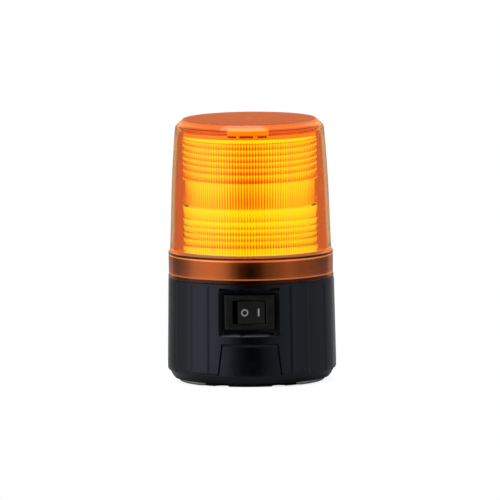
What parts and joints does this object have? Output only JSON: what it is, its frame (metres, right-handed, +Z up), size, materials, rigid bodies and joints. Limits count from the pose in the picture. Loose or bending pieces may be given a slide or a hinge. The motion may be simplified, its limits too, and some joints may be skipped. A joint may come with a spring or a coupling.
{
  "type": "warning beacon",
  "caption": "Portable battery warning beacon: amber globe over a ringed lens, black grip-ribbed housing with a rocker switch, and a magnet plate underneath.",
  "frame": {"origin": "centre of the magnet plate's face, on the surface the beacon stands on", "axes": "+Z up along the globe's axis; the switch faces -Y; +X to the right seen from the switch side"},
  "size_m": [0.073, 0.0726, 0.1137],
  "materials": {
    "nickel_plated_steel": "bright nickel plate, fine turned grain",
    "zinc_screw": "zinc-plated steel",
    "ferrite": "sintered ferrite, matt dark grey",
    "black_rubber": "matt black rubber",
    "black_abs": "satin black moulded ABS",
    "spring_brass": "tinned brass strip",
    "circuit_board": "green solder mask on glass epoxy",
    "capacitor_can": "dark sleeved aluminium can",
    "chip_black": "moulded epoxy",
    "aluminium_post": "plain extruded aluminium",
    "clear_lens": "yellow-amber moulded polycarbonate with ring prisms",
    "amber_pc": "transparent amber polycarbonate, polished",
    "switch_black": "fine-grained black nylon",
    "lead_black": "PVC insulation",
    "lead_red": "PVC insulation",
    "plunger_nylon": "natural nylon",
    "spring_steel": "nickel-plated spring steel",
    "battery_sleeve": "printed film sleeve, no lettering",
    "led_board_white": "white solder mask",
    "led_amber": "amber LED with a clear dome"
  },
  "bodies": {
    "base": {"magnet_plate": "nickel_plated_steel", "plate_screws": "zinc_screw", "ring_magnet": "ferrite", "rubber_foot": "black_rubber", "bottom_cover": "black_abs", "cover_gasket": "black_rubber", "cover_screws": "zinc_screw", "battery_cradle": "black_abs", "battery_1": "battery_sleeve", "battery_2": "battery_sleeve", "battery_3": "battery_sleeve", "battery_4": "battery_sleeve", "battery_spring_1": "spring_steel", "battery_spring_2": "spring_steel", "battery_spring_3": "spring_steel", "battery_spring_4": "spring_steel", "link_plate_1": "spring_steel", "link_plate_2": "spring_steel", "link_plate_3": "spring_steel", "feed_contact_positive": "spring_brass", "feed_contact_negative": "spring_brass"},
    "lamp_body": {"housing": "black_abs", "thread_inserts": "spring_brass", "chassis": "black_abs", "chassis_screws": "zinc_screw", "globe_seal": "black_rubber", "control_board": "circuit_board", "board_screws": "zinc_screw", "contact_pads": "spring_brass", "capacitor": "capacitor_can", "inductor": "ferrite", "driver_chip": "chip_black", "led_mast": "aluminium_post", "led_board_front": "led_board_white", "led_board_right": "led_board_white", "led_board_back": "led_board_white", "led_board_left": "led_board_white", "leds_front": "led_amber", "leds_right": "led_amber", "leds_back": "led_amber", "leds_left": "led_amber", "inner_lens": "clear_lens", "lens_cap": "amber_pc", "switch_frame": "switch_black", "switch_terminals": "spring_brass", "lead_black": "lead_black", "lead_red": "lead_red"},
    "rocker": {"rocker": "switch_black", "plunger": "plunger_nylon", "plunger_spring": "spring_steel"},
    "contact_blade": {"contact_blade": "spring_brass"},
    "globe": {"globe": "amber_pc"}
  },
  "joints": [
    {"name": "lamp_body_lift", "type": "slide", "parent": "base", "child": "lamp_body", "axis": [0, 0, 1], "range_m": [0, 0.046]},
    {"name": "globe_lift", "type": "slide", "parent": "lamp_body", "child": "globe", "axis": [0, 0, 1], "range_m": [0, 0.066]},
    {"name": "rocker_tilt", "type": "hinge", "parent": "lamp_body", "child": "rocker", "pos_m": [0, -0.03, 0.0329], "axis": [0, 0, 1], "range_deg": [-24, 0]},
    {"name": "blade_tilt", "type": "hinge", "parent": "lamp_body", "child": "contact_blade", "pos_m": [0, -0.02405, 0.0329], "axis": [0, 0, 1], "range_deg": [0, 14]}
  ],
  "couplings": [
    {"joint": "blade_tilt", "follows": "rocker_tilt", "ratio": -0.58333}
  ]
}
